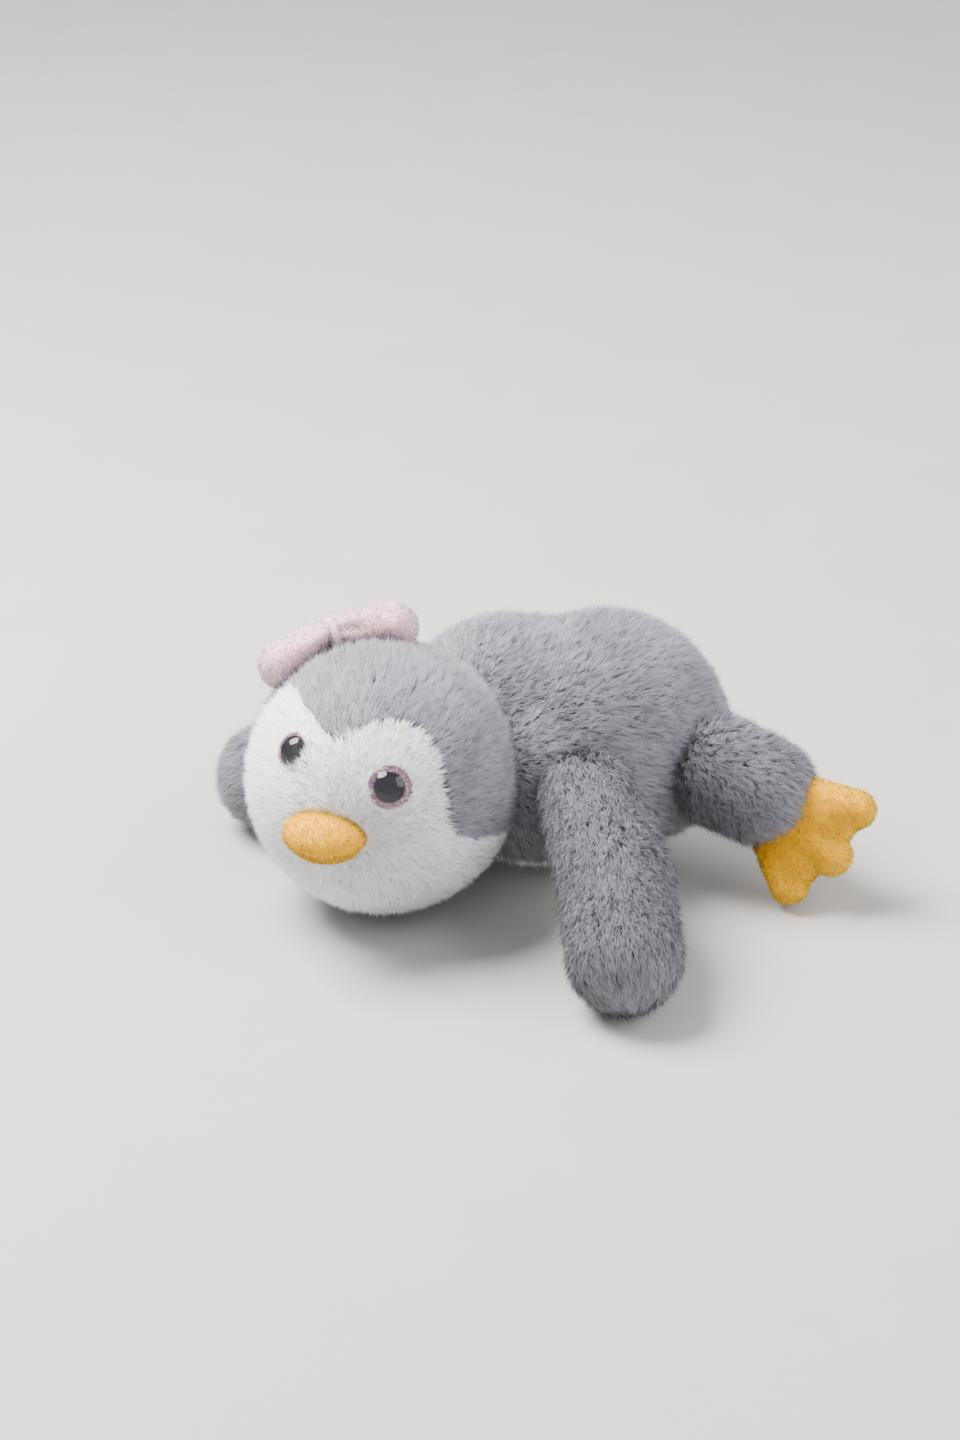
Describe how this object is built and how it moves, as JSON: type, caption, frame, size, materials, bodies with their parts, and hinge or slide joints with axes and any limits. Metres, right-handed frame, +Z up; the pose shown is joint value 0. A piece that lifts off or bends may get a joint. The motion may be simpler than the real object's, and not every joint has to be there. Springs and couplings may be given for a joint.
{
  "type": "plush penguin toy",
  "caption": "Small stuffed penguin lying on its belly, head turned, with long grey and white plush, yellow velour beak and feet, glitter eyes and a pink bow.",
  "frame": {"origin": "middle of the bounding box on the floor the toy lies on", "axes": "+Z up, head towards -Y, the toy's left side towards +X"},
  "size_m": [0.176, 0.1703, 0.0811],
  "materials": {
    "grey_plush": "long-pile plush",
    "white_plush": "mid-length white plush",
    "fibre_fill": "loose polyester fibre",
    "yellow_velour": "short-pile velour",
    "pink_velour": "short-pile velour",
    "eye_clear": "clear gloss plastic",
    "eye_black": "black gloss",
    "eye_glitter": "pink glitter film",
    "washer_plastic": "moulded white",
    "thread": "waxed thread"
  },
  "bodies": {
    "torso": {"torso_left_panel": "grey_plush", "torso_right_panel": "grey_plush", "torso_belly_panel": "white_plush", "torso_stuffing": "fibre_fill"},
    "neck": {"neck_thread_ring": "thread"},
    "head": {"head_crown_left": "grey_plush", "head_crown_right": "grey_plush", "head_face_panel": "white_plush", "head_stuffing": "fibre_fill", "beak_stuffing": "fibre_fill", "beak_top_panel": "yellow_velour", "beak_bottom_panel": "yellow_velour", "bow_left_loop": "pink_velour", "bow_right_loop": "pink_velour", "bow_knot": "pink_velour", "left_eye_dome": "eye_clear", "left_eye_pupil": "eye_black", "left_eye_glitter_disc": "eye_glitter", "left_eye_washer": "washer_plastic", "right_eye_dome": "eye_clear", "right_eye_pupil": "eye_black", "right_eye_glitter_disc": "eye_glitter", "right_eye_washer": "washer_plastic"},
    "left_arm": {"left_arm_outer_panel": "grey_plush", "left_arm_inner_panel": "grey_plush", "left_arm_stuffing": "fibre_fill"},
    "left_leg": {"left_leg_sleeve": "grey_plush", "left_leg_stuffing": "fibre_fill"},
    "left_foot": {"left_foot_stuffing": "fibre_fill", "left_foot_top_panel": "yellow_velour", "left_foot_sole_panel": "yellow_velour"},
    "right_arm": {"right_arm_outer_panel": "grey_plush", "right_arm_inner_panel": "grey_plush", "right_arm_stuffing": "fibre_fill"},
    "right_leg": {"right_leg_sleeve": "grey_plush", "right_leg_stuffing": "fibre_fill"},
    "right_foot": {"right_foot_stuffing": "fibre_fill", "right_foot_top_panel": "yellow_velour", "right_foot_sole_panel": "yellow_velour"}
  },
  "joints": [
    {"name": "neck_tilt", "type": "hinge", "parent": "torso", "child": "neck", "pos_m": [-0.017, -0.0446, 0.039], "axis": [0, 0.9962, -0.087], "range_deg": [-15, 15], "stiffness_Nm_per_rad": 0.04},
    {"name": "neck_turn", "type": "hinge", "parent": "neck", "child": "head", "pos_m": [-0.017, -0.0446, 0.039], "axis": [0, 0, 1], "range_deg": [-60, 20], "stiffness_Nm_per_rad": 0.04},
    {"name": "left_shoulder", "type": "hinge", "parent": "torso", "child": "left_arm", "pos_m": [0.01498, 0.00246, 0.03694], "axis": [0, 0, 1], "range_deg": [-15, 30], "stiffness_Nm_per_rad": 0.02},
    {"name": "right_shoulder", "type": "hinge", "parent": "torso", "child": "right_arm", "pos_m": [-0.0491, 0.00239, 0.03206], "axis": [0, 0, -1], "range_deg": [0, 40], "stiffness_Nm_per_rad": 0.02},
    {"name": "left_hip", "type": "hinge", "parent": "torso", "child": "left_leg", "pos_m": [0.01469, 0.04525, 0.03413], "axis": [0, 0, 1], "range_deg": [-18, 18], "stiffness_Nm_per_rad": 0.02},
    {"name": "right_hip", "type": "hinge", "parent": "torso", "child": "right_leg", "pos_m": [-0.04762, 0.04608, 0.02727], "axis": [0, 0, -1], "range_deg": [-18, 18], "stiffness_Nm_per_rad": 0.02},
    {"name": "left_ankle", "type": "hinge", "parent": "left_leg", "child": "left_foot", "pos_m": [0.02458, 0.05428, 0.03003], "axis": [0.1661, 0.6227, 0.7647], "range_deg": [-20, 20], "stiffness_Nm_per_rad": 0.02},
    {"name": "right_ankle", "type": "hinge", "parent": "right_leg", "child": "right_foot", "pos_m": [-0.05718, 0.05564, 0.02364], "axis": [-0.5299, -0.848, 0], "range_deg": [-20, 20], "stiffness_Nm_per_rad": 0.02}
  ]
}
